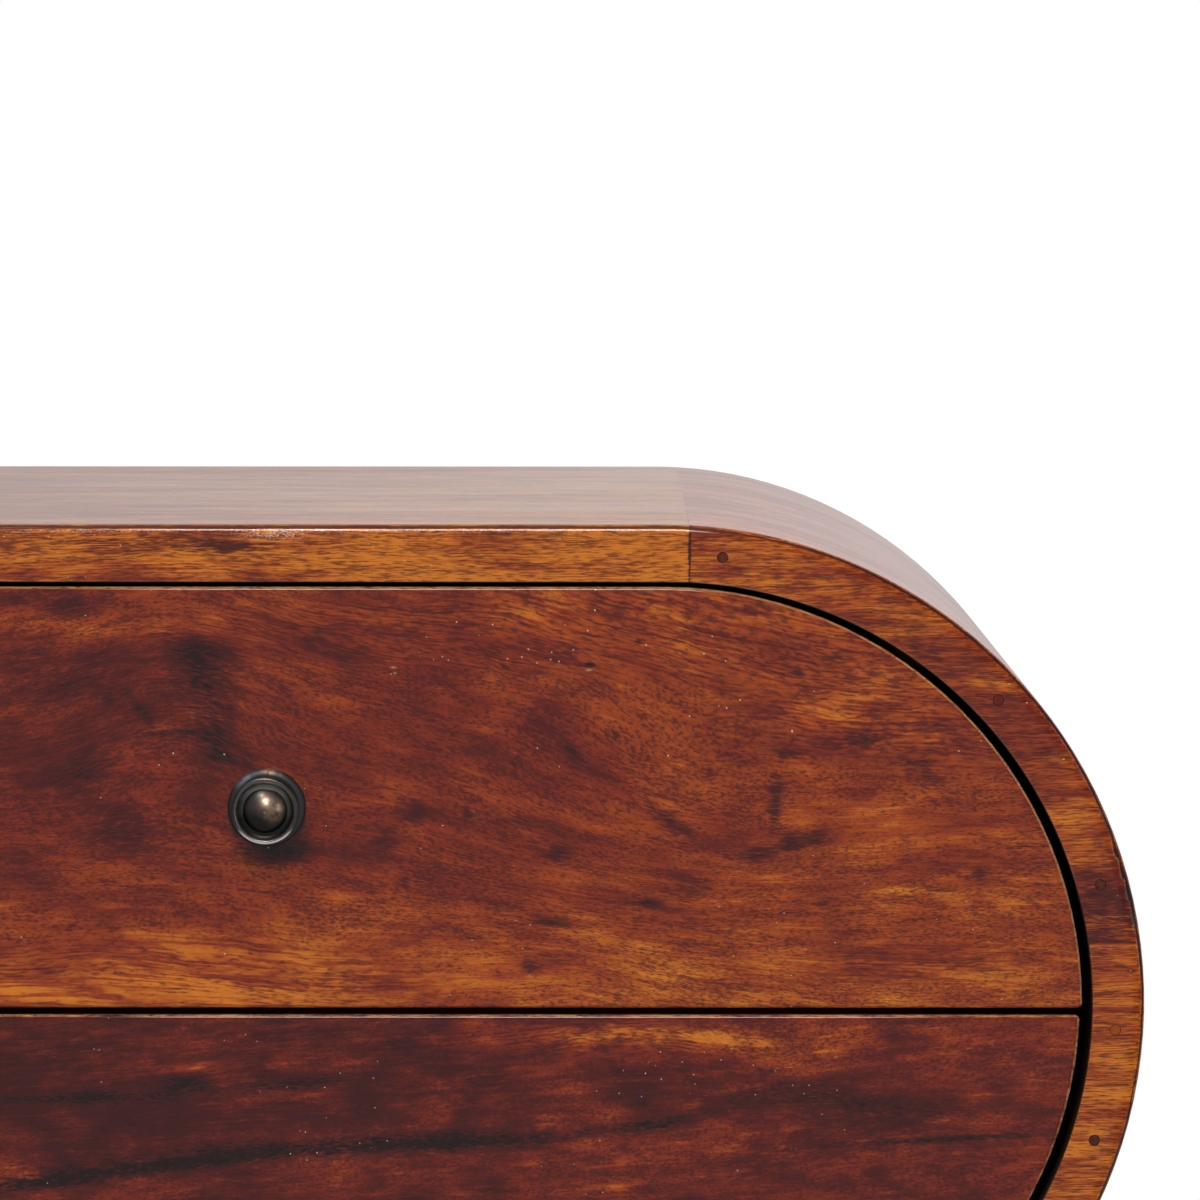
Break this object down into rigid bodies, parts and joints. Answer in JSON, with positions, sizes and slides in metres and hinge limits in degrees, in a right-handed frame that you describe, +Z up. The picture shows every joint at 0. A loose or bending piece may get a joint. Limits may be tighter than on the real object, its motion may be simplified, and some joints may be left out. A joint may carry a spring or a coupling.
{
  "type": "nightstand",
  "caption": "Capsule-fronted wooden nightstand on splayed tapered legs: a jointed round-ended shell with stacked inset drawers on wooden runners and dished metal knobs.",
  "frame": {"origin": "on the floor, under the middle of the whole object's box, knobs included", "axes": "+Z up; the drawers face -Y and open along -Y; +X to the right seen from the front"},
  "size_m": [0.548, 0.3938, 0.545],
  "materials": {
    "shell_wood": "glossy lacquer over dark chestnut stain",
    "drawer_front_wood": "glossy lacquer over dark chestnut stain",
    "inner_wood": "bare sanded hardwood",
    "panel_wood": "thin plywood",
    "leg_wood": "glossy lacquer over dark chestnut stain",
    "filler": "dark wood filler",
    "bronze": "dark antique bronze",
    "steel": "zinc-plated steel",
    "glide": "matt nylon"
  },
  "bodies": {
    "carcass": {"top_board": "shell_wood", "bottom_board": "shell_wood", "upper_left_end": "shell_wood", "upper_right_end": "shell_wood", "lower_left_end": "shell_wood", "lower_right_end": "shell_wood", "back_panel": "panel_wood", "left_partition": "inner_wood", "right_partition": "inner_wood", "divider_board": "inner_wood", "upper_left_runner": "inner_wood", "upper_right_runner": "inner_wood", "lower_left_runner": "inner_wood", "lower_right_runner": "inner_wood", "shell_dowels": "inner_wood", "divider_dowels": "inner_wood", "nail_plugs": "filler", "back_panel_screws": "steel", "runner_screws": "steel", "cleat_screws": "steel", "left_leg_cleat": "leg_wood", "right_leg_cleat": "leg_wood", "front_left_leg": "leg_wood", "front_right_leg": "leg_wood", "rear_left_leg": "leg_wood", "rear_right_leg": "leg_wood", "leg_bolts": "steel", "leg_glides": "glide"},
    "upper_drawer": {"upper_drawer_front": "drawer_front_wood", "upper_drawer_left_side": "inner_wood", "upper_drawer_right_side": "inner_wood", "upper_drawer_back": "inner_wood", "upper_drawer_bottom": "panel_wood", "upper_stop_button": "inner_wood", "upper_stop_button_screw": "steel", "upper_knob_plate": "bronze", "upper_knob": "bronze", "upper_knob_screw": "steel"},
    "lower_drawer": {"lower_drawer_front": "drawer_front_wood", "lower_drawer_left_side": "inner_wood", "lower_drawer_right_side": "inner_wood", "lower_drawer_back": "inner_wood", "lower_drawer_bottom": "panel_wood", "lower_stop_button": "inner_wood", "lower_stop_button_screw": "steel", "lower_knob_plate": "bronze", "lower_knob": "bronze", "lower_knob_screw": "steel"}
  },
  "joints": [
    {"name": "upper_drawer_slide", "type": "slide", "parent": "carcass", "child": "upper_drawer", "axis": [0, -1, 0], "range_m": [0, 0.2]},
    {"name": "lower_drawer_slide", "type": "slide", "parent": "carcass", "child": "lower_drawer", "axis": [0, -1, 0], "range_m": [0, 0.2]}
  ]
}
